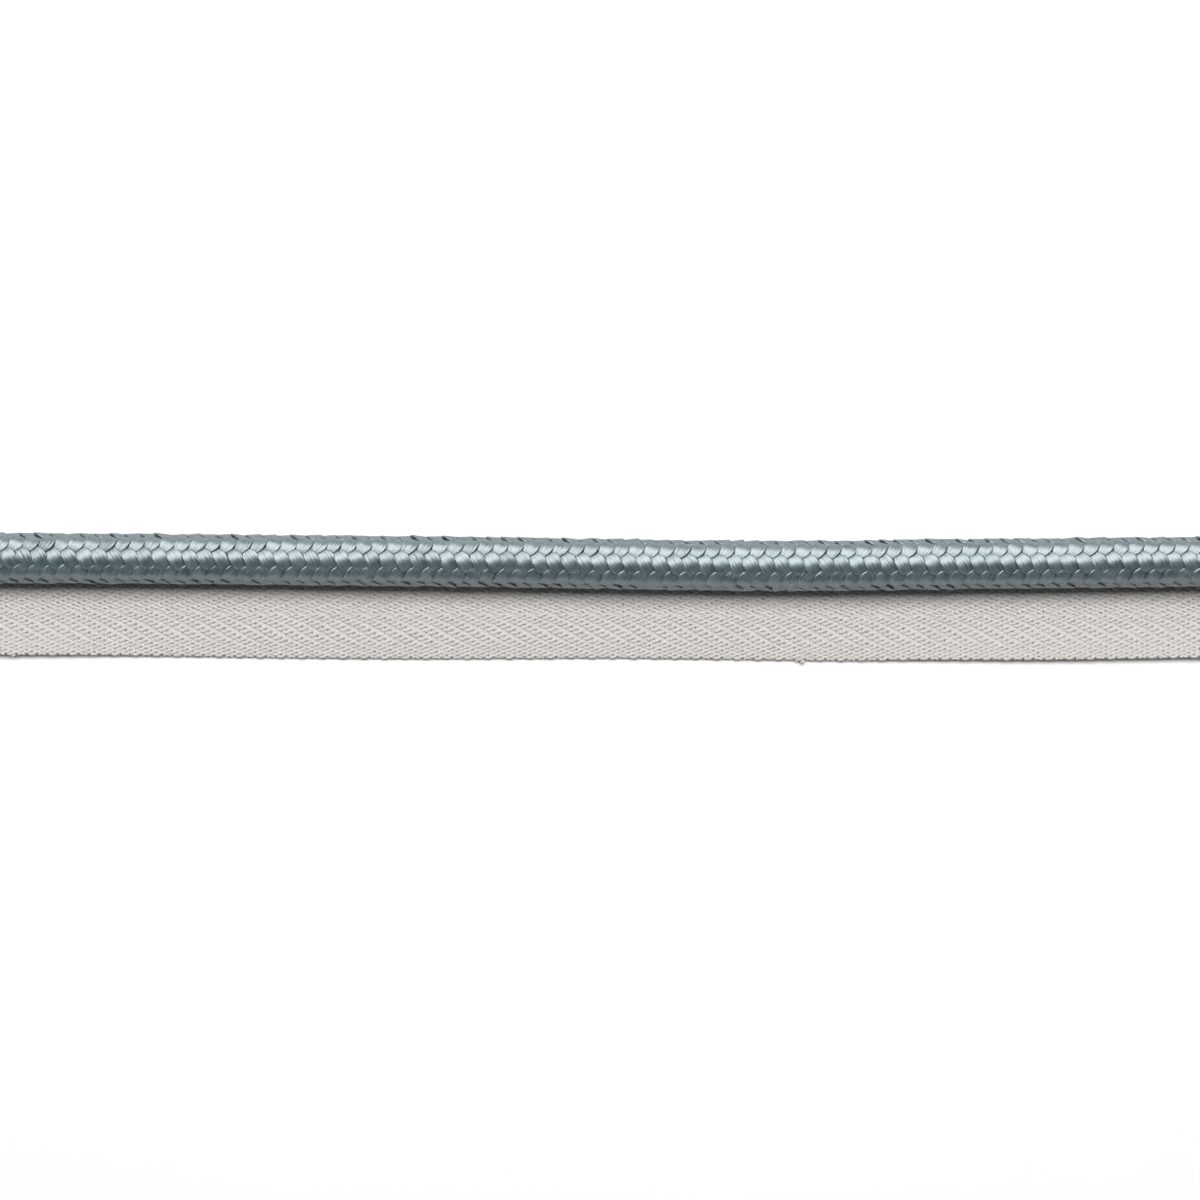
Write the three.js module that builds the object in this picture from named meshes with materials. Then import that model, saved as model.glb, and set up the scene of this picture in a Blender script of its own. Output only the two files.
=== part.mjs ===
// Piping trim for a sewn seam: a cut length of braided cord that lies along one edge of a flat
// herringbone twill tape, with its underside stitched to that edge.
// Millimetres. +X runs along the trim, +Y points from the tape's free edge to the cord, +Z is up.
// The origin is on the tape's underside, at mid length and at the middle of the tape's width.

import * as THREE from "three";

// Driving dimensions
const TRIM_LENGTH = 162;
const CORD_DIAMETER = 6;
const TAPE_WIDTH = 12;
const TAPE_THICKNESS = 1;
const CORD_FROM_TAPE_MIDDLE = 5.3;
const SEAM_GAP = 0.3;

// The cord's braided cover: half of the carriers run each way, each over two and under two
const CARRIERS = 16;
const FLOAT_PITCH = 1.81;
const FLOAT_RELIEF = 0.3;
const FIRST_COLUMN_ANGLE = THREE.MathUtils.degToRad(33.5);
const COLUMNS_PER_REPEAT = 4;
const RISING_COLUMN = 0;
const FALLING_COLUMN = 2;

// Shares of the tape's width, from its covered edge: the cord reaches over the first, and the
// second lies flat along the whole trim
const COVERED_SHARE = 0.34;
const FLAT_SHARE = 0.55;
const STEPS_ACROSS_CURL = 6;
const TAPE_STEPS_ALONG = 36;

// How the trim lies: how far cord and tape are drawn towards +Y from a straight line, and how
// high the tape's free edge stands off the surface
const LAY = [
  { x: -81.0, cordShift: 0.7, tapeShift: 0.45, edgeLift: 0.85 },
  { x: -67.5, cordShift: 0.68, tapeShift: 0.4, edgeLift: 0.65 },
  { x: -54.0, cordShift: 0.6, tapeShift: 0.3, edgeLift: 0.2 },
  { x: -40.5, cordShift: 0.48, tapeShift: 0.08, edgeLift: 0.0 },
  { x: -27.0, cordShift: 0.36, tapeShift: -0.06, edgeLift: 0.0 },
  { x: -13.5, cordShift: 0.23, tapeShift: -0.06, edgeLift: 0.0 },
  { x: 0.0, cordShift: 0.0, tapeShift: 0.0, edgeLift: 0.0 },
  { x: 13.5, cordShift: -0.19, tapeShift: -0.12, edgeLift: 0.0 },
  { x: 27.0, cordShift: -0.22, tapeShift: -0.3, edgeLift: 0.1 },
  { x: 40.5, cordShift: -0.05, tapeShift: -0.19, edgeLift: 0.45 },
  { x: 54.0, cordShift: 0.07, tapeShift: -0.2, edgeLift: 0.7 },
  { x: 67.5, cordShift: 0.22, tapeShift: 0.0, edgeLift: 0.8 },
  { x: 81.0, cordShift: 0.28, tapeShift: 0.16, edgeLift: 0.85 },
];
const layCurve = new THREE.CubicInterpolant(
  LAY.map((section) => section.x),
  LAY.flatMap((section) => [section.cordShift, section.tapeShift, section.edgeLift]),
  3,
);

function layAt(x) {
  const [cordShift, tapeShift, edgeLift] = layCurve.evaluate(x);
  return { cordShift, tapeShift, edgeLift: Math.max(0, edgeLift) };
}

// Points and faces of one closed body. A quad a, b, c, d is split along its diagonal a to c.
class Body {
  points = [];
  corners = [];

  point(x, y, z) {
    this.points.push(x, y, z);
    return this.points.length / 3 - 1;
  }

  triangle(a, b, c) {
    this.corners.push(a, b, c);
  }

  quad(a, b, c, d) {
    this.triangle(a, b, c);
    this.triangle(a, c, d);
  }

  geometry() {
    const geometry = new THREE.BufferGeometry();
    geometry.setAttribute("position", new THREE.Float32BufferAttribute(this.points, 3));
    geometry.setIndex(this.corners);
    geometry.computeVertexNormals();
    return geometry;
  }
}

// The braided cord. Its points sit where two carriers cross, so a row of crossings lies at every
// column round the cord, half a float apart along it. A crossing on top of a float is raised, and
// one between two floats is lowered by the relief.
function braidedCord() {
  const body = new Body();
  const steps = Math.round((2 * TRIM_LENGTH) / FLOAT_PITCH);
  const radius = CORD_DIAMETER / 2;
  const axisZ = TAPE_THICKNESS + SEAM_GAP + radius;
  const isRaised = (column, step) => (column + step) % 2 === 0;

  const rings = [];
  const axis = [];
  for (let step = 0; step <= steps; step++) {
    const x = (step / steps - 0.5) * TRIM_LENGTH;
    const axisY = CORD_FROM_TAPE_MIDDLE + layAt(x).cordShift;
    const ring = [];
    for (let column = 0; column < CARRIERS; column++) {
      const angle = FIRST_COLUMN_ANGLE + (2 * Math.PI * column) / CARRIERS;
      const r = isRaised(column, step) ? radius : radius - FLOAT_RELIEF;
      ring.push(body.point(x, axisY + r * Math.sin(angle), axisZ + r * Math.cos(angle)));
    }
    rings.push(ring);
    axis.push([x, axisY, axisZ]);
  }

  // A face between two columns is split along the floats that run there: in every repeat of
  // columns one row of floats rises towards +Y as it runs along +X, and one row falls. Between
  // the rows of floats the split joins the lowered corners.
  const splitRises = (column, step) => {
    const place = column % COLUMNS_PER_REPEAT;
    if (place === RISING_COLUMN) return true;
    if (place === FALLING_COLUMN) return false;
    return !isRaised(column, step);
  };
  for (let step = 0; step < steps; step++) {
    for (let column = 0; column < CARRIERS; column++) {
      const next = (column + 1) % CARRIERS;
      const near = rings[step];
      const far = rings[step + 1];
      if (splitRises(column, step)) {
        body.quad(near[column], far[column], far[next], near[next]);
      } else {
        body.quad(far[column], far[next], near[next], near[column]);
      }
    }
  }

  // Flat cut ends
  const startCentre = body.point(...axis[0]);
  const endCentre = body.point(...axis[steps]);
  for (let column = 0; column < CARRIERS; column++) {
    const next = (column + 1) % CARRIERS;
    body.triangle(startCentre, rings[0][column], rings[0][next]);
    body.triangle(endCentre, rings[steps][next], rings[steps][column]);
  }
  return body.geometry();
}

// The twill tape: one flat sheet whose free edge curls up a little towards both ends.
function wovenTape() {
  const body = new Body();
  const shares = [0, COVERED_SHARE];
  for (let step = 0; step <= STEPS_ACROSS_CURL; step++) {
    shares.push(FLAT_SHARE + ((1 - FLAT_SHARE) * step) / STEPS_ACROSS_CURL);
  }

  const under = [];
  const top = [];
  for (let step = 0; step <= TAPE_STEPS_ALONG; step++) {
    const x = (step / TAPE_STEPS_ALONG - 0.5) * TRIM_LENGTH;
    const { tapeShift, edgeLift } = layAt(x);
    const underLine = [];
    const topLine = [];
    for (const share of shares) {
      const y = tapeShift + (0.5 - share) * TAPE_WIDTH;
      const curl = Math.max(0, (share - FLAT_SHARE) / (1 - FLAT_SHARE));
      const z = edgeLift * curl * curl;
      underLine.push(body.point(x, y, z));
      topLine.push(body.point(x, y, z + TAPE_THICKNESS));
    }
    under.push(underLine);
    top.push(topLine);
  }

  const last = shares.length - 1;
  for (let step = 0; step < TAPE_STEPS_ALONG; step++) {
    for (let place = 0; place < last; place++) {
      body.quad(top[step][place], top[step][place + 1], top[step + 1][place + 1], top[step + 1][place]);
      body.quad(
        under[step][place],
        under[step + 1][place],
        under[step + 1][place + 1],
        under[step][place + 1],
      );
    }
    body.quad(under[step][0], top[step][0], top[step + 1][0], under[step + 1][0]);
    body.quad(under[step][last], under[step + 1][last], top[step + 1][last], top[step][last]);
  }
  const end = TAPE_STEPS_ALONG;
  for (let place = 0; place < last; place++) {
    body.quad(under[0][place], under[0][place + 1], top[0][place + 1], top[0][place]);
    body.quad(under[end][place], top[end][place], top[end][place + 1], under[end][place + 1]);
  }
  return body.geometry();
}

const cordYarn = new THREE.MeshStandardMaterial({ color: 0x9fadb3, roughness: 0.4, metalness: 0 });
const tapeYarn = new THREE.MeshStandardMaterial({ color: 0xd6d0c8, roughness: 0.9, metalness: 0 });

const trim = new THREE.Group();

const cord = new THREE.Mesh(braidedCord(), cordYarn);
cord.name = "braided_cord";
trim.add(cord);

const tape = new THREE.Mesh(wovenTape(), tapeYarn);
tape.name = "woven_tape";
trim.add(tape);

export default trim;
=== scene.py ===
"""Dresses a cut length of piping trim: a satin braided cord whose underside is stitched along one
edge of a cotton herringbone twill tape.

Metres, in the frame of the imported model: +X along the trim, +Y from the tape's free edge to the
cord, +Z up from the surface that the tape lies on.
"""

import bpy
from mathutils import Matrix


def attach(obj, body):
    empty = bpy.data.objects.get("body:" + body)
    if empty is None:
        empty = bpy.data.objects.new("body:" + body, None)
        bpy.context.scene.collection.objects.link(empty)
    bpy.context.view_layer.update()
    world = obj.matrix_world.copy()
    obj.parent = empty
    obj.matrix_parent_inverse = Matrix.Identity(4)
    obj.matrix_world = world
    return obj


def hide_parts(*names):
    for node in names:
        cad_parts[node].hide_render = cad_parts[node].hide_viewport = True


bl_info = {
    "name": "Piping Trim",
    "version": (1, 0, 0),
    "blender": (4, 5, 0),
    "location": "3D View > Sidebar > Piping",
    "description": "Makes a length of braided piping cord on a herringbone twill tape, yarn by yarn",
    "category": "Object",
}

import math

import bpy
import numpy as np
from bpy.props import FloatProperty, FloatVectorProperty, IntProperty, PointerProperty
from bpy.types import Operator, Panel, PropertyGroup

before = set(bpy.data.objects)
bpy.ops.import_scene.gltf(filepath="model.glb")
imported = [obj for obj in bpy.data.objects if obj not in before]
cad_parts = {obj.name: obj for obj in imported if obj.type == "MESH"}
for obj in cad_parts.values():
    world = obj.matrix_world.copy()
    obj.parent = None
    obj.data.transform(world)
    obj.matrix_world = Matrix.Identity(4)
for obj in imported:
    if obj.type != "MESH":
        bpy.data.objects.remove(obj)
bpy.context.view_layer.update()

MM = 0.001
BODY = "root"
CORD_NODE = "braided_cord"
TAPE_NODE = "woven_tape"
SAME_PLACE = 0.01 * MM
ACROSS_THE_TRIM = np.array([0.0, 1.0, 0.0])
UPWARD = np.array([0.0, 0.0, 1.0])


# How the trim lies, read from its solids

def sections_of(node):
    """A node's solid as its sections along X: each is its x and the corners that share it."""
    corners = np.array([vertex.co[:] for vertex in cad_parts[node].data.vertices])
    corners = np.unique(np.round(corners, 6), axis=0)
    places = np.unique(np.round(corners[:, 0], 5))
    return [(x, corners[np.abs(corners[:, 0] - x) < SAME_PLACE]) for x in places]


class TrimLay:
    """Where the cord's axis and the tape's surface run along the trim."""

    def __init__(self):
        cord = sections_of(CORD_NODE)
        self.cord_x = np.array([x for x, _ in cord])
        self.cord_y = np.array([corners[:, 1].mean() for _, corners in cord])
        self.cord_z = float(np.mean([corners[:, 2].mean() for _, corners in cord]))
        self.length = float(self.cord_x[-1] - self.cord_x[0])
        self.cord_radius = float(max(
            np.hypot(corners[:, 1] - y, corners[:, 2] - self.cord_z).max()
            for (_, corners), y in zip(cord, self.cord_y)
        ))
        tape = sections_of(TAPE_NODE)
        self.tape_x = np.array([x for x, _ in tape])
        self.free_edge = np.array([corners[:, 1].min() for _, corners in tape])
        self.edge_lift = np.array([
            corners[corners[:, 1] < edge + SAME_PLACE, 2].min()
            for (_, corners), edge in zip(tape, self.free_edge)
        ])
        first = tape[0][1]
        self.tape_width = float(np.ptp(first[:, 1]))
        self.tape_thickness = float(np.ptp(first[first[:, 1] > first[:, 1].max() - SAME_PLACE, 2]))

    def cord_centre(self, x):
        return np.interp(x, self.cord_x, self.cord_y)

    def on_tape(self, x, across, height, flat_width):
        """Points of the tape at a distance from its free edge and a height over its underside."""
        curl = np.clip(1 - across / (self.tape_width - flat_width), 0, None)
        y = np.interp(x, self.tape_x, self.free_edge) + across
        z = np.interp(x, self.tape_x, self.edge_lift) * curl * curl + height
        return np.stack(np.broadcast_arrays(x, y, z), axis=-1)


lay = TrimLay()


# Sizes and colours that a user would change

class CordSettings(PropertyGroup):
    """The braided cord."""

    diameter: FloatProperty(
        name="Diameter", description="Thickness of the cord over its floats",
        default=2 * lay.cord_radius, unit="LENGTH")
    carriers: IntProperty(
        name="Carriers", description="Strands in the braid, half of them running each way",
        default=16, min=8)
    float_pitch: FloatProperty(
        name="Float Pitch", description="Distance along the cord from one float to the next",
        default=1.81 * MM, unit="LENGTH", precision=5)
    first_column: FloatProperty(
        name="First Column",
        description="Angle from the top of the cord to the first column of crossings",
        default=math.radians(33.5), subtype="ANGLE")
    strand_width: FloatProperty(
        name="Strand Width", description="Width of a strand at the middle of a float",
        default=1.93 * MM, unit="LENGTH", precision=5)
    strand_thickness: FloatProperty(
        name="Strand Thickness", description="Thickness of a flattened strand",
        default=0.38 * MM, unit="LENGTH", precision=5)
    dive: FloatProperty(
        name="Dive", description="How far a strand sinks from its float to its lowest crossing",
        default=0.48 * MM, unit="LENGTH", precision=5)
    waist: FloatProperty(
        name="Waist", description="Share of its width that a strand loses between two floats",
        default=0.42, min=0, max=0.6)
    float_lean: FloatProperty(
        name="Float Lean", description="How far a float turns across the cord, in half pitches",
        default=0.2, min=0, max=0.6)
    irregularity: FloatProperty(
        name="Irregularity", description="How unevenly the strands are laid",
        default=1.0, min=0)
    colour: FloatVectorProperty(
        name="Colour", description="Blue grey of the satin yarn",
        default=(0.026, 0.046, 0.056), size=3, min=0, max=1, subtype="COLOR")
    filament_colour: FloatVectorProperty(
        name="Filament Colour", description="Paler filaments that catch the light",
        default=(0.1, 0.138, 0.157), size=3, min=0, max=1, subtype="COLOR")
    roughness: FloatProperty(
        name="Roughness", description="Spread of the satin gloss",
        default=0.43, min=0, max=1, subtype="FACTOR")


class TapeSettings(PropertyGroup):
    """The herringbone twill tape."""

    pick_pitch: FloatProperty(
        name="Pick Pitch", description="Distance along the tape from one pick to the next",
        default=0.626 * MM, unit="LENGTH", precision=5)
    reversal: FloatProperty(
        name="Reversal", description="Distance of the herringbone's reversal from the free edge",
        default=5.4 * MM, unit="LENGTH", precision=5)
    warp_rise: FloatProperty(
        name="Warp Rise", description="How far a warp float stands over the middle of the tape",
        default=0.11 * MM, unit="LENGTH", precision=5)
    warp_thickness: FloatProperty(
        name="Warp Thickness", description="Thickness of a warp yarn",
        default=0.46 * MM, unit="LENGTH", precision=5)
    weft_thickness: FloatProperty(
        name="Weft Thickness", description="Thickness of one of a pick's two threads",
        default=0.26 * MM, unit="LENGTH", precision=5)
    flat_width: FloatProperty(
        name="Flat Width", description="Width from the covered edge that lies flat on the surface",
        default=0.55 * lay.tape_width, unit="LENGTH", precision=5)
    colour: FloatVectorProperty(
        name="Colour", description="Cream of the unbleached cotton",
        default=(0.66, 0.637, 0.616), size=3, min=0, max=1, subtype="COLOR")
    # The darker end of the cotton's mix: painted shade in the grooves between the plies, and darker
    # fibres and slubs at random
    shade: FloatVectorProperty(
        name="Shade", description="Darker cotton in the turns of the yarn",
        default=(0.552, 0.526, 0.501), size=3, min=0, max=1, subtype="COLOR")


class SeamSettings(PropertyGroup):
    """The running stitch that holds the cord to the tape."""

    stitch_pitch: FloatProperty(
        name="Stitch Pitch", description="Length of one stitch and the gap after it",
        default=4.2 * MM, unit="LENGTH", precision=5)
    thread_thickness: FloatProperty(
        name="Thread Thickness", description="Thickness of the sewing thread",
        default=0.24 * MM, unit="LENGTH", precision=5)
    colour: FloatVectorProperty(
        name="Colour", description="Off-white of the sewing thread",
        default=(0.74, 0.73, 0.7), size=3, min=0, max=1, subtype="COLOR")


class StageSettings(PropertyGroup):
    """Table top, light and camera."""

    view_width: FloatProperty(
        name="View Width", description="Width of the picture at the cord's height",
        default=144 * MM, unit="LENGTH")
    camera_distance: FloatProperty(
        name="Camera Distance", description="Height of the camera over the cord",
        default=0.6, unit="LENGTH")
    cord_above_centre: FloatProperty(
        name="Cord Above Centre", description="How far the cord lies above the middle of the picture",
        default=4.35 * MM, unit="LENGTH", precision=5)
    softbox_power: FloatProperty(
        name="Softbox Power", description="Power of the softbox behind the cord",
        default=12.0, unit="POWER")
    softbox_tilt: FloatProperty(
        name="Softbox Tilt", description="Angle of the softbox from straight overhead",
        default=math.radians(19), subtype="ANGLE")
    card_power: FloatProperty(
        name="Card Power", description="Power of the white card that the satin reflects",
        default=23.5, unit="POWER")
    card_tilt: FloatProperty(
        name="Card Tilt", description="Angle of the white card from straight overhead",
        default=math.radians(42), subtype="ANGLE")
    card_width: FloatProperty(
        name="Card Width", description="Width of the white card across the trim",
        default=0.86, unit="LENGTH")
    low_card_power: FloatProperty(
        name="Low Card Power", description="Power of the white card beyond the tape's free edge",
        default=1.6, unit="POWER")
    surround: FloatProperty(
        name="Surround", description="Brightness of the room round the stage",
        default=0.09, min=0)
    table_colour: FloatVectorProperty(
        name="Table Colour", description="Near white of the table top",
        default=(0.88, 0.88, 0.88), size=3, min=0, max=1, subtype="COLOR")


SETTINGS = {
    "piping_cord": CordSettings,
    "piping_tape": TapeSettings,
    "piping_seam": SeamSettings,
    "piping_stage": StageSettings,
}


# Shaders

class Value:
    """A number inside a shader. Arithmetic on it adds Math nodes."""

    def __init__(self, shader, socket):
        self.shader = shader
        self.socket = socket

    def calculate(self, operation, *operands):
        inputs = dict(enumerate(operands))
        node = self.shader.node("ShaderNodeMath", {"operation": operation}, inputs)
        return Value(self.shader, node.outputs[0])

    def __add__(self, other):
        return self.calculate("ADD", self, other)

    def __radd__(self, other):
        return self.calculate("ADD", other, self)

    def __sub__(self, other):
        return self.calculate("SUBTRACT", self, other)

    def __rsub__(self, other):
        return self.calculate("SUBTRACT", other, self)

    def __mul__(self, other):
        return self.calculate("MULTIPLY", self, other)

    def __rmul__(self, other):
        return self.calculate("MULTIPLY", other, self)

    def __truediv__(self, other):
        return self.calculate("DIVIDE", self, other)

    def __rtruediv__(self, other):
        return self.calculate("DIVIDE", other, self)

    def sine(self):
        return self.calculate("SINE", self)

    def within(self, low, high):
        """How far the number has come from low to high, held between 0 and 1."""
        settings = {"clamp": True}
        inputs = {"Value": self, "From Min": low, "From Max": high}
        return Value(self.shader, self.shader.node("ShaderNodeMapRange", settings, inputs).outputs[0])


# Noise over a yarn: its cycles in a millimetre along the yarn and in a turn around it, how far it
# winds around in a millimetre, where in the noise it is taken, and how many finer layers it has
YARN_NOISE = {
    "filaments": {"along": 0.6, "around": 14.0, "wind": 0.0, "place": 0.0, "detail": 4.0},
    "bundles": {"along": 0.3, "around": 11.0, "wind": 0.0, "place": 5.0, "detail": 1.0},
    "patches": {"along": 0.8, "around": 2.0, "wind": 0.0, "place": 11.0, "detail": 2.0},
    "waver": {"along": 0.7, "around": 1.0, "wind": 0.0, "place": 3.0, "detail": 1.0},
    "fibres": {"along": 5.0, "around": 9.0, "wind": 1.4, "place": 7.0, "detail": 3.0},
    "slubs": {"along": 0.5, "around": 0.7, "wind": 0.0, "place": 13.0, "detail": 2.0},
}


class Shader:
    """The node tree of one material. Every node comes from the method node."""

    def __init__(self, name):
        self.material = bpy.data.materials.new(name)
        self.material.use_nodes = True
        self.tree = self.material.node_tree
        self.tree.nodes.clear()

    def node(self, kind, settings=None, inputs=None):
        made = self.tree.nodes.new(kind)
        for name, setting in (settings or {}).items():
            setattr(made, name, setting)
        for name, value in (inputs or {}).items():
            value = value.socket if isinstance(value, Value) else value
            if isinstance(value, bpy.types.NodeSocket):
                self.tree.links.new(value, made.inputs[name])
            else:
                made.inputs[name].default_value = value
        return made

    def along_and_around(self):
        """A yarn's own coordinates: millimetres along it, and turns around it."""
        mapping = self.node("ShaderNodeUVMap", {"uv_map": "yarn"})
        parts = self.node("ShaderNodeSeparateXYZ", inputs={"Vector": mapping.outputs["UV"]})
        return Value(self, parts.outputs["X"]), Value(self, parts.outputs["Y"])

    def yarn_noise(self, name, along, around):
        """One of the noises over a yarn, between 0 and 1."""
        noise = YARN_NOISE[name]
        place = self.node("ShaderNodeCombineXYZ", inputs={
            "X": along * noise["along"],
            "Y": around * noise["around"] + along * noise["wind"],
            "Z": noise["place"],
        })
        inputs = {"Vector": place.outputs[0], "Scale": 1.0, "Detail": noise["detail"]}
        return Value(self, self.node("ShaderNodeTexNoise", inputs=inputs).outputs["Fac"])

    def mix(self, share, low, high):
        """A colour between two others."""
        first, second, result = 6, 7, 2
        inputs = {0: share, first: (*low, 1.0), second: (*high, 1.0)}
        return self.node("ShaderNodeMix", {"data_type": "RGBA"}, inputs).outputs[result]

    def bump(self, height, depth, strength):
        inputs = {"Height": height, "Distance": depth, "Strength": strength}
        return self.node("ShaderNodeBump", inputs=inputs).outputs["Normal"]

    def finish(self, inputs):
        """Ends the tree in a Principled surface, and returns the material."""
        surface = self.node("ShaderNodeBsdfPrincipled", inputs=inputs)
        output = self.node("ShaderNodeOutputMaterial")
        self.tree.links.new(surface.outputs[0], output.inputs["Surface"])
        return self.material


COOL_TINT = (0.9, 0.98, 1.0, 1.0)
SATIN_GLOSS = {
    "IOR": 1.7,
    "Specular IOR Level": 1.0,
    "Specular Tint": COOL_TINT,
    "Coat Weight": 0.4,
    "Coat Roughness": 0.36,
    "Coat Tint": COOL_TINT,
}
SATIN_ROUGHNESS_SPREAD = 0.22
COTTON_GLOSS = {
    "Roughness": 0.85,
    "Specular IOR Level": 0.25,
    "Sheen Weight": 0.15,
    "Sheen Roughness": 0.4,
}
COTTON_PLIES = 2
COTTON_PLY_WAVER = 0.6

# What each part of a yarn's surface adds to its lightness, the span of that sum from the darker
# colour to the lighter one, and what each part adds to its relief
SATIN_LIGHTNESS = {"filaments": 0.6, "patches": 0.4}
SATIN_LIGHTNESS_SPAN = {"low": 0.38, "high": 0.68}
SATIN_RELIEF = {"filaments": 0.6, "bundles": 0.7}
SATIN_RELIEF_DEPTH = 0.1 * MM
# The plies' share paints shade in the grooves between the plies; fibres and slubs vary the tone at
# random
COTTON_LIGHTNESS = {"plies": 0.16, "fibres": 0.55, "slubs": 0.45}
COTTON_LIGHTNESS_SPAN = {"low": 0.3, "high": 0.62}
COTTON_RELIEF = {"plies": 0.5, "fibres": 1.0}
COTTON_RELIEF_DEPTH = 0.035 * MM
NOISE_MIDDLE = 0.5

TABLE_ROUGHNESS = 0.7
TABLE_MOTTLE_SCALE = 9.0
TABLE_MOTTLE_LIFT = 1.02


def blended(parts, shares):
    """The sum of the named parts, each times its share."""
    return sum(parts[name] * share for name, share in shares.items())


def satin_yarn(cord):
    """Glossy filament yarn: fine streaks along the strand, and patches that catch the light."""
    shader = Shader("satin_cord_yarn")
    yarn = shader.along_and_around()
    parts = {name: shader.yarn_noise(name, *yarn) for name in ("filaments", "bundles", "patches")}
    lightness = blended(parts, SATIN_LIGHTNESS).within(**SATIN_LIGHTNESS_SPAN)
    relief = blended(parts, SATIN_RELIEF)
    return shader.finish({
        **SATIN_GLOSS,
        "Base Color": shader.mix(lightness, cord.colour, cord.filament_colour),
        "Roughness": cord.roughness + (parts["patches"] - NOISE_MIDDLE) * SATIN_ROUGHNESS_SPREAD,
        "Normal": shader.bump(relief, SATIN_RELIEF_DEPTH, strength=1.0),
    })


def cotton_yarn(name, colour, shade, ply_pitch):
    """Plied cotton: the plies wind round the yarn, with short fibres over them. Its colour runs from
    shade to colour: the plies' share paints shade in the grooves between the plies, and fibres and
    slubs vary the tone at random. The pitch of the plies is in millimetres, as the yarn's own
    coordinates are."""
    shader = Shader(name)
    along, around = shader.along_and_around()
    parts = {name: shader.yarn_noise(name, along, around) for name in ("waver", "fibres", "slubs")}
    waver = parts["waver"] * COTTON_PLY_WAVER
    turns = along / ply_pitch + around * COTTON_PLIES + waver
    parts["plies"] = (turns * (2 * math.pi)).sine()
    lightness = blended(parts, COTTON_LIGHTNESS).within(**COTTON_LIGHTNESS_SPAN)
    relief = blended(parts, COTTON_RELIEF)
    return shader.finish({
        **COTTON_GLOSS,
        "Base Color": shader.mix(lightness, shade, colour),
        "Normal": shader.bump(relief, COTTON_RELIEF_DEPTH, strength=0.9),
    })


def table_top(colour):
    """A smooth matt board with the faintest mottle."""
    shader = Shader("table_top")
    place = shader.node("ShaderNodeTexCoord").outputs["Object"]
    inputs = {"Vector": place, "Scale": TABLE_MOTTLE_SCALE}
    mottle = shader.node("ShaderNodeTexNoise", inputs=inputs).outputs["Fac"]
    paler = [min(1.0, channel * TABLE_MOTTLE_LIFT) for channel in colour]
    return shader.finish({
        "Base Color": shader.mix(mottle, colour, paler),
        "Roughness": TABLE_ROUGHNESS,
    })


# Yarns as meshes

# The waves of a random line, in shares of its wavelength
WANDER_WAVES = [1.0, 1.73, 2.91, 0.61]

# Millimetres along the noises from the start of one yarn to the start of the next
NEXT_YARN = 41.0


def wandering(places, wavelength, starts):
    """A smooth line of size about one at each place, with no beat that repeats. starts says how
    far each of its waves has turned at place 0."""
    waves = [
        np.sin(2 * np.pi * (places / (wavelength * wave) + start))
        for wave, start in zip(WANDER_WAVES, starts)
    ]
    return sum(waves) / math.sqrt(len(waves))


def random_wander(rng, places, wavelength):
    return wandering(places, wavelength, [rng.random() for _ in WANDER_WAVES])


def tube_faces(rings, sides):
    """The faces of one closed tube whose corners are numbered ring by ring, and its two ends."""
    ring, side = np.meshgrid(np.arange(rings - 1), np.arange(sides), indexing="ij")
    beside = (side + 1) % sides
    walls = np.stack([
        ring * sides + side,
        ring * sides + beside,
        (ring + 1) * sides + beside,
        (ring + 1) * sides + side,
    ], axis=-1).reshape(-1, 4)
    start = np.arange(sides)[::-1]
    end = (rings - 1) * sides + np.arange(sides)
    return walls, start, end


def facing_out(rails):
    """The same tubes, with their sides in the order that turns their faces outward."""
    middle = rails.shape[1] // 2
    ring = rails[0, middle]
    across = np.cross(ring[1] - ring[0], rails[0, middle + 1, 0] - ring[0])
    turned_in = np.dot(across, ring[0] + ring[1] - 2 * ring.mean(axis=0)) < 0
    return rails[:, :, ::-1] if turned_in else rails


def yarn_coordinates(along, sides):
    """For each corner of each face of the tubes, the millimetres along its yarn and the turns
    around it. Each tube starts further along than the one before, so no two look alike."""
    rings = along.shape[1]
    ring, side = np.meshgrid(np.arange(rings - 1), np.arange(sides), indexing="ij")
    corner_rings = np.stack([ring, ring, ring + 1, ring + 1], axis=-1).reshape(-1)
    corner_sides = np.stack([side, side + 1, side + 1, side], axis=-1).reshape(-1)
    turn = np.arange(sides) / sides
    places = []
    for tube, distance in enumerate(along / MM):
        distance = distance + tube * NEXT_YARN
        places.append(np.stack([distance[corner_rings], corner_sides / sides], axis=-1))
        for end in (0, -1):
            places.append(np.stack([np.full(sides, distance[end]), turn], axis=-1))
    return np.concatenate(places)


def yarn_object(name, rails, along, material):
    """One mesh of closed tubes. rails holds a point for each tube, ring and side, and along the
    distance of each tube's rings from its start."""
    rails = facing_out(rails)
    tubes, rings, sides, _ = rails.shape
    walls, start, end = tube_faces(rings, sides)
    faces = []
    for tube in range(tubes):
        first = tube * rings * sides
        faces += (walls + first).tolist()
        faces += [(start + first).tolist(), (end + first).tolist()]
    mesh = bpy.data.meshes.new(name)
    mesh.from_pydata(rails.reshape(-1, 3), [], faces)
    places = yarn_coordinates(along, sides)
    mesh.uv_layers.new(name="yarn").data.foreach_set("uv", places.ravel())
    smooth = np.ones((tubes, len(walls) + 2), dtype=bool)
    smooth[:, -2:] = False
    mesh.polygons.foreach_set("use_smooth", smooth.ravel())
    mesh.update()
    mesh.validate()
    mesh.materials.append(material)
    made = bpy.data.objects.new(name, mesh)
    bpy.context.scene.collection.objects.link(made)
    return made


def unit(vectors):
    return vectors / np.linalg.norm(vectors, axis=-1, keepdims=True)


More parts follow.
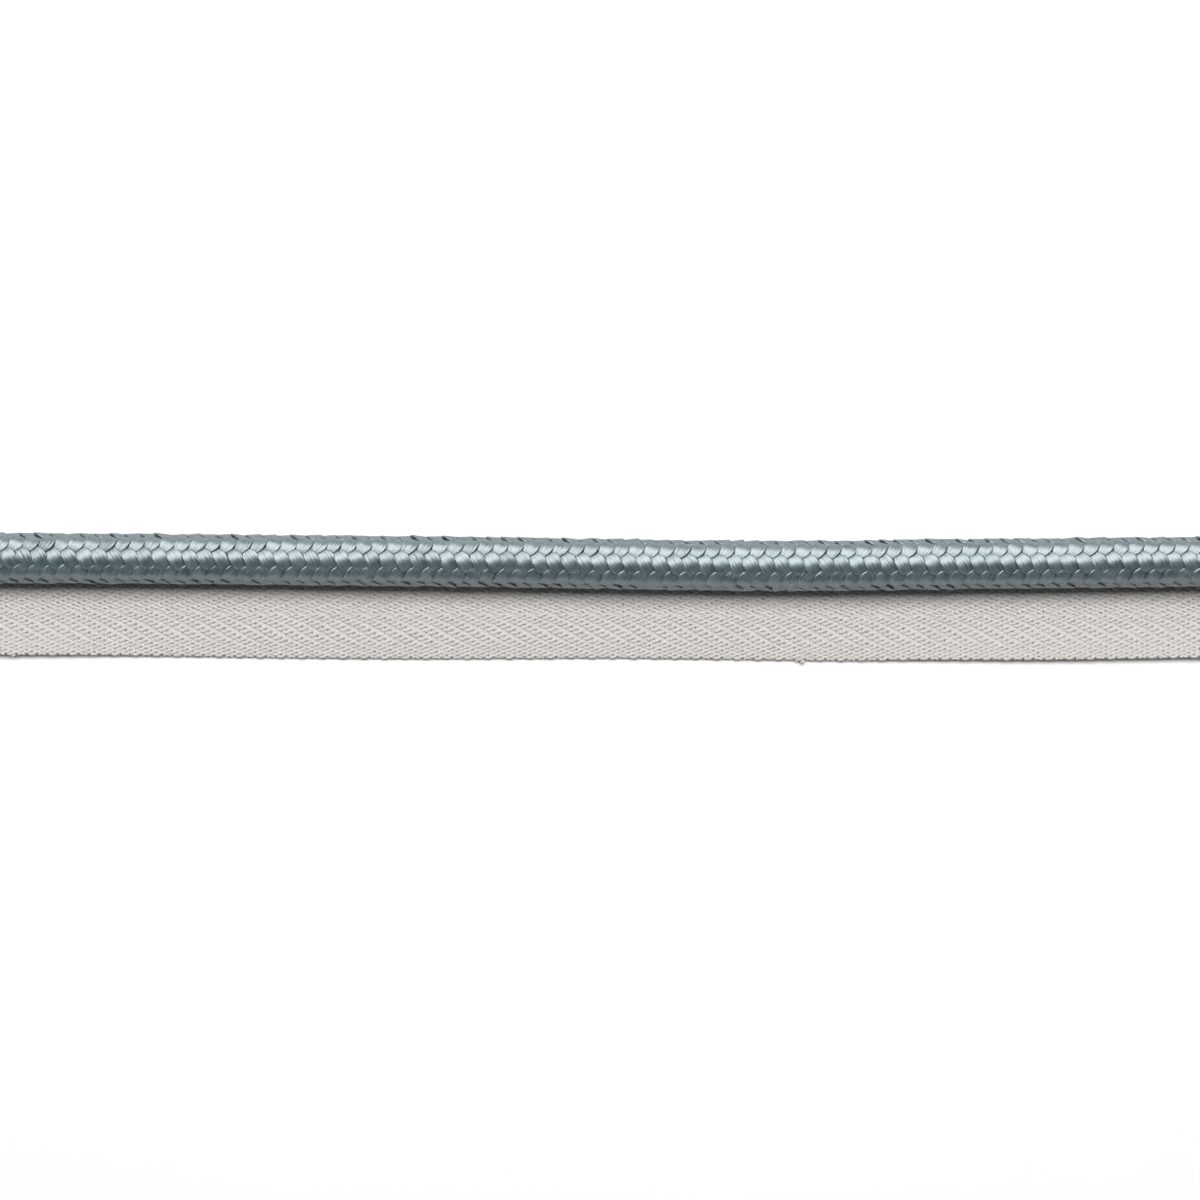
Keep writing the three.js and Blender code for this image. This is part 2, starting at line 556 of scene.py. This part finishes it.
def sweep(path, across_hint, widths, heights, section):
    """Rails of tubes along paths. path holds a point for each tube and ring, across_hint the
    way that a section's width points, and section the share of width and height at each side."""
    ahead = unit(np.gradient(path, axis=1))
    upward = unit(np.cross(ahead, across_hint))
    sideways = np.cross(upward, ahead)
    width = widths[..., None, None] * section[:, 0, None] / 2
    height = heights[..., None, None] * section[:, 1, None] / 2
    return path[:, :, None] + width * sideways[:, :, None] + height * upward[:, :, None]


def round_section(sides):
    angle = 2 * np.pi * (np.arange(sides) + 0.5) / sides
    return np.stack([np.cos(angle), np.sin(angle)], axis=-1)


def path_length(path):
    """Distance from the start at each ring of each path."""
    steps = np.linalg.norm(np.diff(path, axis=1), axis=-1)
    return np.concatenate([np.zeros((len(path), 1)), np.cumsum(steps, axis=1)], axis=1)


# The braided cord

# A strand's section, in shares of half its width and half its thickness
CROWN = {
    "across": np.array([-1.0, -0.92, -0.76, -0.6, -0.4, -0.2, 0.0, 0.2, 0.4, 0.6, 0.76, 0.92, 1.0]),
    "groove": np.array([0, 0, 0, 1, 0, 1, 0, 1, 0, 1, 0, 0, 0]),
}
BACK = np.array([[0.62, -0.62], [0.0, -0.8], [-0.62, -0.62]])
CROWN_FLATNESS = 7
CROWN_CAMBER = 0.06
GROOVE_DEPTH = 0.06

# A strand's run. Its level goes from 1 on a float to -1 at the lowest crossing.
RINGS_PER_COLUMN = 4.2
FLOAT_ROUNDNESS = 0.3
GATHERED_LEVEL = -0.15
SPREAD_LEVEL = 0.9
BULGE = 0.1
LENGTH_FOR_RUN = 1.3

# The cord's underside is drawn out towards the tape by this share, in a zone this narrow
DRAWN_SHARE = 0.075
DRAWN_NARROWNESS = 6

# Unevenness: each kind's wavelength in crossings, and the amounts that follow from them
UNEVEN_WAVELENGTHS = {"width": 9, "sink": 7, "slip": 11, "roll": 8}
UNEVEN_WIDTH = 0.05
UNEVEN_THICKNESS = 0.05
UNEVEN_SINK = 0.03 * MM
UNEVEN_SLIP = 0.05
UNEVEN_ROLL = 0.1

# The cut at each end reshapes the strands over this many columns, in this many rounds
CUT_REACH = 1.2
CUT_ROUNDS = 6

# The strands that run each way round: the way they turn, the column and the place along the cord
# of their first float, counted in crossings, and the seed of their unevenness
STRAND_GROUPS = [
    {"name": "rising_strands", "turn": 1, "column": 0.5, "place": 0.5, "seed": 3},
    {"name": "falling_strands", "turn": -1, "column": 2.5, "place": 1.5, "seed": 8},
]
STRANDS_APART = 2


def strand_section():
    """A flattened strand: a crown of five yarn ends over a flatter back."""
    across = CROWN["across"]
    crown = (1 - np.abs(across) ** CROWN_FLATNESS) ** (1 / CROWN_FLATNESS)
    crown = crown * (1 - CROWN_CAMBER * across ** 2) - GROOVE_DEPTH * CROWN["groove"]
    return np.concatenate([np.stack([across, crown], axis=-1), BACK])


def eased(share):
    """A share, held between 0 and 1, that starts and ends slowly."""
    share = np.clip(share, 0, 1)
    return share * share * (3 - 2 * share)


class Strands:
    """The strands that run one way round the cord. Their phase is 0 at the middle of a float and
    grows by 1 from one crossing to the next, and by 4 to the next float."""

    def __init__(self, cord, group):
        self.turn = group["turn"]
        self.columns = round(lay.length / (cord.float_pitch / 2))
        self.half_pitch = lay.length / self.columns
        self.column_angle = 2 * np.pi / cord.carriers
        self.first_angle = cord.first_column
        self.float_column = group["column"]
        self.count = cord.carriers // 2
        self.float_place = group["place"] + STRANDS_APART * np.arange(self.count)
        self.lean = cord.float_lean
        self.width = cord.strand_width
        self.thickness = cord.strand_thickness
        self.radius = cord.diameter / 2 - self.thickness / 2
        self.waist = cord.waist
        self.dive = cord.dive
        self.irregularity = cord.irregularity
        rng = np.random.default_rng(group["seed"])
        self.uneven_starts = {
            name: rng.random((self.count, len(WANDER_WAVES))).T[..., None, None]
            for name in UNEVEN_WAVELENGTHS
        }

    def uneven(self, phase):
        """How far each strand strays at a phase, for each kind of unevenness."""
        return {
            name: self.irregularity * wandering(phase, wavelength, self.uneven_starts[name])
            for name, wavelength in UNEVEN_WAVELENGTHS.items()
        }

    def points(self, phase, section):
        """The points of the strands at a phase for each strand, ring and side."""
        swing = np.pi / 2 * phase
        over = np.cos(swing)
        level = np.sinh(FLOAT_ROUNDNESS * over) / np.sinh(FLOAT_ROUNDNESS)
        steepness = FLOAT_ROUNDNESS * np.cosh(FLOAT_ROUNDNESS * over) / np.sinh(FLOAT_ROUNDNESS)
        level_slope = -steepness * np.sin(swing) * np.pi / 2
        uneven = self.uneven(phase)

        column = self.float_column + self.turn * phase
        angle = self.first_angle + column * self.column_angle
        place = self.float_place[:, None, None] + phase - self.lean * np.sin(swing)
        x = self.half_pitch * (place + UNEVEN_SLIP * uneven["slip"]) - lay.length / 2
        radius = self.radius + self.dive * (level - 1) / 2 + UNEVEN_SINK * uneven["sink"]
        radius = radius * (1 + DRAWN_SHARE * np.clip(-np.cos(angle), 0, 1) ** DRAWN_NARROWNESS)

        outward = np.stack([np.zeros_like(angle), np.sin(angle), np.cos(angle)], axis=-1)
        around = np.stack([np.zeros_like(angle), np.cos(angle), -np.sin(angle)], axis=-1)
        ahead = radius[..., None] * self.turn * self.column_angle * around
        ahead = ahead + (self.dive * level_slope / 2)[..., None] * outward
        ahead[..., 0] = self.half_pitch * (1 - self.lean * np.cos(swing) * np.pi / 2)
        ahead = unit(ahead)
        sideways = unit(np.cross(ahead, outward))
        upward = np.cross(sideways, ahead)

        spread = eased((over - GATHERED_LEVEL) / (SPREAD_LEVEL - GATHERED_LEVEL))
        spread = 1 - self.waist * (1 - spread)
        width = self.width * spread * (1 + UNEVEN_WIDTH * uneven["width"])
        thickness = self.thickness * (1 + BULGE * over + UNEVEN_THICKNESS * uneven["sink"])
        wide = width / 2 * section[:, 0]
        high = thickness / 2 * section[:, 1]
        roll = UNEVEN_ROLL * uneven["roll"]
        rolled_wide = wide * np.cos(roll) - high * np.sin(roll)
        rolled_high = wide * np.sin(roll) + high * np.cos(roll)
        centre = np.stack([
            x,
            lay.cord_centre(x) + radius * np.sin(angle),
            lay.cord_z + radius * np.cos(angle),
        ], axis=-1)
        return centre + rolled_wide[..., None] * sideways + rolled_high[..., None] * upward

    def rails(self, section):
        """Rails of the strands, which end in the flat cuts at both ends of the cord."""
        rings = round(self.columns * RINGS_PER_COLUMN) + 1
        along = np.linspace(0, self.columns, rings)
        phase = along[None, :, None] - self.float_place[:, None, None]
        phase = np.repeat(phase, len(section), axis=2)
        for end, side in ((0, -1), (-1, 1)):
            ramp = np.clip(1 - np.abs(along - along[end]) / CUT_REACH, 0, 1)[None, :, None]
            shift = np.zeros((self.count, 1, len(section)))
            for _ in range(CUT_ROUNDS):
                x = self.points(phase[:, [end]] + shift, section)[..., 0]
                shift = shift + (side * lay.length / 2 - x) / self.half_pitch
            phase = phase + ramp * shift
        points = self.points(phase, section)
        points[:, 0, :, 0] = -lay.length / 2
        points[:, -1, :, 0] = lay.length / 2
        return points, np.tile(along * self.half_pitch * LENGTH_FOR_RUN, (self.count, 1))


class PIPING_OT_cord_cover(Operator):
    """Braid the cord's cover: half of the strands run each way, over two and under two"""

    bl_idname = "piping.cord_cover"
    bl_label = "Braid Cover"

    def execute(self, context):
        cord = context.scene.piping_cord
        material = satin_yarn(cord)
        for group in STRAND_GROUPS:
            rails, along = Strands(cord, group).rails(strand_section())
            made = yarn_object(group["name"], rails, along, material)
            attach(made, BODY)
            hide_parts(CORD_NODE)
        return {"FINISHED"}


FILLING_RECESS = 0.25 * MM
FILLING_UNDER_LAYERS = 2.9
FILLING_RINGS = 83
FILLING_SIDES = 32


class PIPING_OT_cord_filling(Operator):
    """Fill the cord inside its cover, so that no light passes between the strands"""

    bl_idname = "piping.cord_filling"
    bl_label = "Fill Cord"

    def execute(self, context):
        cord = context.scene.piping_cord
        reach = lay.length / 2 - FILLING_RECESS
        x = np.linspace(-reach, reach, FILLING_RINGS)
        path = np.stack([x, lay.cord_centre(x), np.full_like(x, lay.cord_z)], axis=-1)[None]
        size = np.full((1, len(x)), cord.diameter - FILLING_UNDER_LAYERS * cord.strand_thickness)
        rails = sweep(path, ACROSS_THE_TRIM, size, size, round_section(FILLING_SIDES))
        material = bpy.data.materials["satin_cord_yarn"]
        made = yarn_object("cord_filling", rails, path_length(path), material)
        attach(made, BODY)
        return {"FINISHED"}


# The herringbone tape

WARP_PITCHES = {
    "from_edge": np.array([0.0, 1.4, 2.4, 3.4, 4.4, 5.4, 6.4, 7.4, 8.6, 9.8, 12.0]) * MM,
    "pitch": np.array([0.21, 0.23, 0.35, 0.37, 0.26, 0.22, 0.24, 0.36, 0.36, 0.26, 0.24]) * MM,
}
PITCH_SAMPLES = 2401
EDGE_MARGIN = 0.13
TWILL_REPEAT = 4
TAPE_PLY_PITCH = 0.42

# A warp: its rings in a repeat of the weave, how wide it is beside its pitch, and how its floats
# slant across the tape
WARP_RINGS_PER_REPEAT = 11
WARP_SIDES = 6
WARP_LEAST_WIDTH = 0.14 * MM
WARP_WIDTH_FOR_PITCH = 1.1
WARP_FULLNESS = 0.95
CREST_BREADTH = 0.3
FLOAT_SLANT = 0.125 * MM
FLOAT_LEAN = 0.5
FRAY = 0.12 * MM

# Unevenness of a warp: across the tape and in thickness over one wavelength, in height and width
# over the other
ACROSS_WAVELENGTH = 5 * MM
ACROSS_WANDER = 0.02 * MM
THICKNESS_WANDER = 0.04
HEIGHT_WAVELENGTH = 3 * MM
HEIGHT_WANDER = 0.012 * MM
WIDTH_WANDER = 0.05

WARP_GROUPS_SEED = 21


class Weave:
    """Where the warps and picks of the tape lie, and where a warp floats over the picks."""

    def __init__(self, tape):
        self.tape = tape
        fine = np.linspace(0, lay.tape_width, PITCH_SAMPLES)
        pitch = np.interp(fine, WARP_PITCHES["from_edge"], WARP_PITCHES["pitch"])
        count = np.concatenate([[0], np.cumsum(np.diff(fine) / ((pitch[1:] + pitch[:-1]) / 2))])
        self.warps = int(count[-1] - 2 * EDGE_MARGIN)
        places = np.arange(self.warps) + (count[-1] - self.warps + 1) / 2
        self.across = np.interp(places, count, fine)
        self.pitch = np.interp(self.across, fine, pitch)
        self.turning = int(np.argmin(np.abs(self.across - tape.reversal)))
        self.middle = lay.tape_thickness / 2
        self.picks = int(lay.length / tape.pick_pitch) - 1

    def shift(self, warp):
        """How many picks a warp's floats are moved along the tape. They move back towards the
        reversal from the free edge, and forward again after it."""
        return np.abs(warp - self.turning)

    def phase(self, x, warp):
        """Turns of the weave's repeat at a place, from the middle of a float."""
        return (x / self.tape.pick_pitch - self.shift(warp)) / TWILL_REPEAT


def flattened(wave):
    """A wave with broader crests, still between -1 and 1."""
    return wave * (1 + CREST_BREADTH - CREST_BREADTH * wave * wave)


def warp_rails(weave, warps, rng):
    """Rails of some of the warps, given by their numbers from the free edge."""
    tape = weave.tape
    repeats = lay.length / (tape.pick_pitch * TWILL_REPEAT)
    rings = int(repeats * WARP_RINGS_PER_REPEAT)
    warp = np.asarray(warps)
    frayed = FRAY * rng.random((2, len(warp), 1))
    start = -lay.length / 2 + frayed[0]
    x = start + (lay.length - frayed[0] - frayed[1]) * np.linspace(0, 1, rings)
    turn = 2 * np.pi * weave.phase(x, warp[:, None])
    slant = FLOAT_SLANT * np.where(warp < weave.turning, 1, -1)[:, None]
    lean = np.sin(2 * turn) + FLOAT_LEAN * np.sin(turn)
    uneven = np.stack([random_wander(rng, places, ACROSS_WAVELENGTH) for places in x])
    across = weave.across[warp][:, None] + slant * lean + ACROSS_WANDER * uneven
    lifted = np.stack([random_wander(rng, places, HEIGHT_WAVELENGTH) for places in x])
    height = weave.middle + tape.warp_rise * flattened(np.cos(turn)) + HEIGHT_WANDER * lifted
    path = lay.on_tape(x, across, height, tape.flat_width)
    width = (WARP_LEAST_WIDTH + WARP_WIDTH_FOR_PITCH * weave.pitch[warp])[:, None]
    width = width * (1 + WIDTH_WANDER * lifted)
    thickness = tape.warp_thickness * (WARP_FULLNESS + THICKNESS_WANDER * uneven)
    rails = sweep(path, ACROSS_THE_TRIM, width, thickness, round_section(WARP_SIDES))
    return rails, path_length(path)


class PIPING_OT_tape_warps(Operator):
    """Lay the warps of the twill tape, in two groups from the free edge to the covered one"""

    bl_idname = "piping.tape_warps"
    bl_label = "Lay Warps"

    def execute(self, context):
        tape = context.scene.piping_tape
        weave = Weave(tape)
        material = cotton_yarn("cotton_tape_yarn", tape.colour, tape.shade, TAPE_PLY_PITCH)
        middle = weave.warps // 2
        groups = {"free_edge_warps": range(middle), "cord_edge_warps": range(middle, weave.warps)}
        for seed, (name, warps) in enumerate(groups.items(), start=WARP_GROUPS_SEED):
            rails, along = warp_rails(weave, list(warps), np.random.default_rng(seed))
            made = yarn_object(name, rails, along, material)
            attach(made, BODY)
            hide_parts(TAPE_NODE)
        return {"FINISHED"}


# Loops of weft that stand out from the free edge: where they are, and by how much
LOOSE_LOOPS = {
    "place": np.array([24.2, -71.0, 23.6]) * MM,
    "length": np.array([0.5, 0.3, 0.25]) * MM,
}
WEFT_STEPS_ACROSS = 22
WEFT_TURN_STEPS = 4
WEFT_SIDES = 6
WEFT_SAG = 0.05 * MM
WEFT_WAVER = 0.02 * MM
THREADS_APART = 0.62
EDGE_THREADS = 1.2
LOOP_SPREAD = 0.3
WEFT_SEED = 31


def weft_path(weave, rng):
    """The weft as one thread: out along each pick to the free edge, round the outer warp, back
    beside itself, and on to the next pick at the covered edge."""
    tape = weave.tape
    reach = tape.weft_thickness
    apart = THREADS_APART * reach
    half = tape.pick_pitch / 2 - apart
    near_edge = EDGE_THREADS * reach
    far_edge = lay.tape_width - near_edge
    turning = np.linspace(0, np.pi, WEFT_TURN_STEPS + 2)[1:-1]
    level = np.full_like(turning, weave.middle)
    inside = np.linspace(far_edge, near_edge, WEFT_STEPS_ACROSS)
    warp_at = np.interp(inside, weave.across, np.arange(weave.warps))
    path = []
    for pick in range(weave.picks):
        x = (pick - (weave.picks - 1) / 2) * tape.pick_pitch
        loose = np.abs(x - LOOSE_LOOPS["place"]) < tape.pick_pitch / 2
        loop = reach * (1 + LOOP_SPREAD * rng.random()) + LOOSE_LOOPS["length"][loose].sum()
        waver = WEFT_WAVER * rng.standard_normal(WEFT_STEPS_ACROSS)
        height = weave.middle - WEFT_SAG * np.cos(2 * np.pi * weave.phase(x, warp_at))
        out = np.stack([x - apart + waver, inside, height], axis=-1)
        round_warp = x - apart * np.cos(turning)
        edge = np.stack([round_warp, near_edge - loop * np.sin(turning), level], axis=-1)
        back = np.stack([x + apart + waver, inside, height], axis=-1)[::-1]
        to_next = x + apart + half * (1 - np.cos(turning))
        link = np.stack([to_next, far_edge + reach * np.sin(turning), level], axis=-1)
        path += [out, edge, back, link]
    path = np.concatenate(path[:-1])
    return lay.on_tape(path[:, 0], path[:, 1], path[:, 2], tape.flat_width)[None]


class PIPING_OT_tape_weft(Operator):
    """Lay the weft of the twill tape, two threads to a pick, turned at both selvedges"""

    bl_idname = "piping.tape_weft"
    bl_label = "Lay Weft"

    def execute(self, context):
        tape = context.scene.piping_tape
        path = weft_path(Weave(tape), np.random.default_rng(WEFT_SEED))
        size = np.full(path.shape[:2], tape.weft_thickness)
        rails = sweep(path, UPWARD, size, size, round_section(WEFT_SIDES))
        material = bpy.data.materials["cotton_tape_yarn"]
        made = yarn_object("tape_weft", rails, path_length(path), material)
        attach(made, BODY)
        return {"FINISHED"}


# The seam

# One stitch: shares of the stitch pitch, and how far the thread has risen into the cord there
STITCH = {
    "along": np.array([0.0, 0.04, 0.1, 0.16, 0.3, 0.44, 0.5, 0.56, 0.6, 0.8]),
    "risen": np.array([1.0, 0.8, 0.35, 0.0, 0.0, 0.0, 0.35, 0.8, 1.0, 1.0]),
}
STITCH_DEPTH = 0.35 * MM
SEAM_FROM_CORD = 0.9 * MM
SEAM_WANDER = 0.05 * MM
SEAM_WAVELENGTH = 11 * MM
THREAD_CLEARANCE = 0.01 * MM
THREAD_SIDES = 8
THREAD_PLY_PITCH = 0.3
# The thread's darker colour as a share of its own: painted shade in the grooves between its plies,
# with random fibre and slub tone
THREAD_SHADE = 0.8
SEAM_SEED = 41


class PIPING_OT_seam(Operator):
    """Stitch the cord's underside to the tape with a running stitch"""

    bl_idname = "piping.seam"
    bl_label = "Stitch Seam"

    def execute(self, context):
        seam = context.scene.piping_seam
        thread = seam.thread_thickness
        stitches = int(lay.length / seam.stitch_pitch)
        start = -stitches / 2 * seam.stitch_pitch
        x = start + ((np.arange(stitches)[:, None] + STITCH["along"]) * seam.stitch_pitch).ravel()
        strayed = random_wander(np.random.default_rng(SEAM_SEED), x, SEAM_WAVELENGTH)
        y = lay.cord_centre(x) - SEAM_FROM_CORD + SEAM_WANDER * strayed
        inside = lay.cord_z - lay.cord_radius + STITCH_DEPTH
        heights = np.maximum(inside * STITCH["risen"], thread / 2 + THREAD_CLEARANCE)
        path = np.stack([x, y, np.tile(heights, stitches)], axis=-1)[None]
        size = np.full(path.shape[:2], thread)
        rails = sweep(path, ACROSS_THE_TRIM, size, size, round_section(THREAD_SIDES))
        # shade paints the grooves between the thread's plies darker, and darkens some fibres and
        # slubs at random
        shade = [THREAD_SHADE * channel for channel in seam.colour]
        material = cotton_yarn("sewing_thread", seam.colour, shade, THREAD_PLY_PITCH)
        made = yarn_object("seam_stitches", rails, path_length(path), material)
        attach(made, BODY)
        return {"FINISHED"}


# Table top, light and camera

TABLE_HALF = 3.0
LIGHT_DISTANCE = 0.9
SOFTBOX_SIZE = (1.2, 0.36)
CARD_LENGTH = 1.4
LOW_CARD_SIZE = (1.4, 0.25)
LOW_CARD_TILT = math.radians(-80)
SURROUND_COLOUR = (0.95, 0.97, 1.0, 1.0)
NEAREST_SEEN = 0.01


def area_light(name, tilt, size, power):
    """A soft light aimed at the origin, tilted from straight overhead towards +Y."""
    light = bpy.data.lights.new(name, "AREA")
    light.shape = "RECTANGLE"
    light.size, light.size_y = size
    light.energy = power
    lamp = bpy.data.objects.new(name, light)
    lamp.location = (0, LIGHT_DISTANCE * math.sin(tilt), LIGHT_DISTANCE * math.cos(tilt))
    lamp.rotation_euler = (-tilt, 0, 0)
    bpy.context.scene.collection.objects.link(lamp)
    return lamp


class PIPING_OT_stage(Operator):
    """Set the white table top, the softbox and the white cards, and the camera overhead"""

    bl_idname = "piping.stage"
    bl_label = "Set Stage"

    def execute(self, context):
        stage = context.scene.piping_stage
        self.table(stage)
        self.light(context.scene, stage)
        self.camera(context.scene, stage)
        return {"FINISHED"}

    def table(self, stage):
        mesh = bpy.data.meshes.new("table_top")
        signs = ((-1, -1), (1, -1), (1, 1), (-1, 1))
        corners = [(x * TABLE_HALF, y * TABLE_HALF, 0) for x, y in signs]
        mesh.from_pydata(corners, [], [(0, 1, 2, 3)])
        mesh.materials.append(table_top(stage.table_colour))
        table = bpy.data.objects.new("table_top", mesh)
        bpy.context.scene.collection.objects.link(table)

    def light(self, scene, stage):
        """The softbox lights what is matt, and the cards show in what is glossy alone."""
        softbox = area_light("softbox", stage.softbox_tilt, SOFTBOX_SIZE, stage.softbox_power)
        softbox.visible_glossy = False
        card_size = (CARD_LENGTH, stage.card_width)
        card = area_light("gloss_card", stage.card_tilt, card_size, stage.card_power)
        card.visible_diffuse = False
        low_card = area_light("low_card", LOW_CARD_TILT, LOW_CARD_SIZE, stage.low_card_power)
        low_card.visible_diffuse = False
        world = bpy.data.worlds.new("studio")
        world.use_nodes = True
        background = world.node_tree.nodes["Background"].inputs
        background["Color"].default_value = SURROUND_COLOUR
        background["Strength"].default_value = stage.surround
        scene.world = world
        scene.view_settings.view_transform = "Standard"

    def camera(self, scene, stage):
        lens = bpy.data.cameras.new("overhead")
        lens.lens = lens.sensor_width * stage.camera_distance / stage.view_width
        lens.clip_start = NEAREST_SEEN
        camera = bpy.data.objects.new("overhead", lens)
        middle = lay.cord_centre(0.0) - stage.cord_above_centre
        camera.location = (0, middle, lay.cord_z + stage.camera_distance)
        scene.collection.objects.link(camera)
        scene.camera = camera


OPERATORS = [
    PIPING_OT_cord_cover,
    PIPING_OT_cord_filling,
    PIPING_OT_tape_warps,
    PIPING_OT_tape_weft,
    PIPING_OT_seam,
    PIPING_OT_stage,
]


class PIPING_PT_panel(Panel):
    """The trim's sizes and colours, and a button for each of its pieces"""

    bl_idname = "PIPING_PT_panel"
    bl_label = "Piping Trim"
    bl_space_type = "VIEW_3D"
    bl_region_type = "UI"
    bl_category = "Piping"

    def draw(self, context):
        for name, group in SETTINGS.items():
            box = self.layout.box()
            settings = getattr(context.scene, name)
            for field in group.__annotations__:
                box.prop(settings, field)
        for operator in OPERATORS:
            self.layout.operator(operator.bl_idname)


def register():
    for item in (*SETTINGS.values(), *OPERATORS, PIPING_PT_panel):
        bpy.utils.register_class(item)
    for name, group in SETTINGS.items():
        setattr(bpy.types.Scene, name, PointerProperty(type=group))


def unregister():
    for name in SETTINGS:
        delattr(bpy.types.Scene, name)
    for item in reversed((*SETTINGS.values(), *OPERATORS, PIPING_PT_panel)):
        bpy.utils.unregister_class(item)


def main():
    register()
    for operator in OPERATORS:
        group, name = operator.bl_idname.split(".")
        getattr(getattr(bpy.ops, group), name)()


if __name__ == "__main__":
    main()
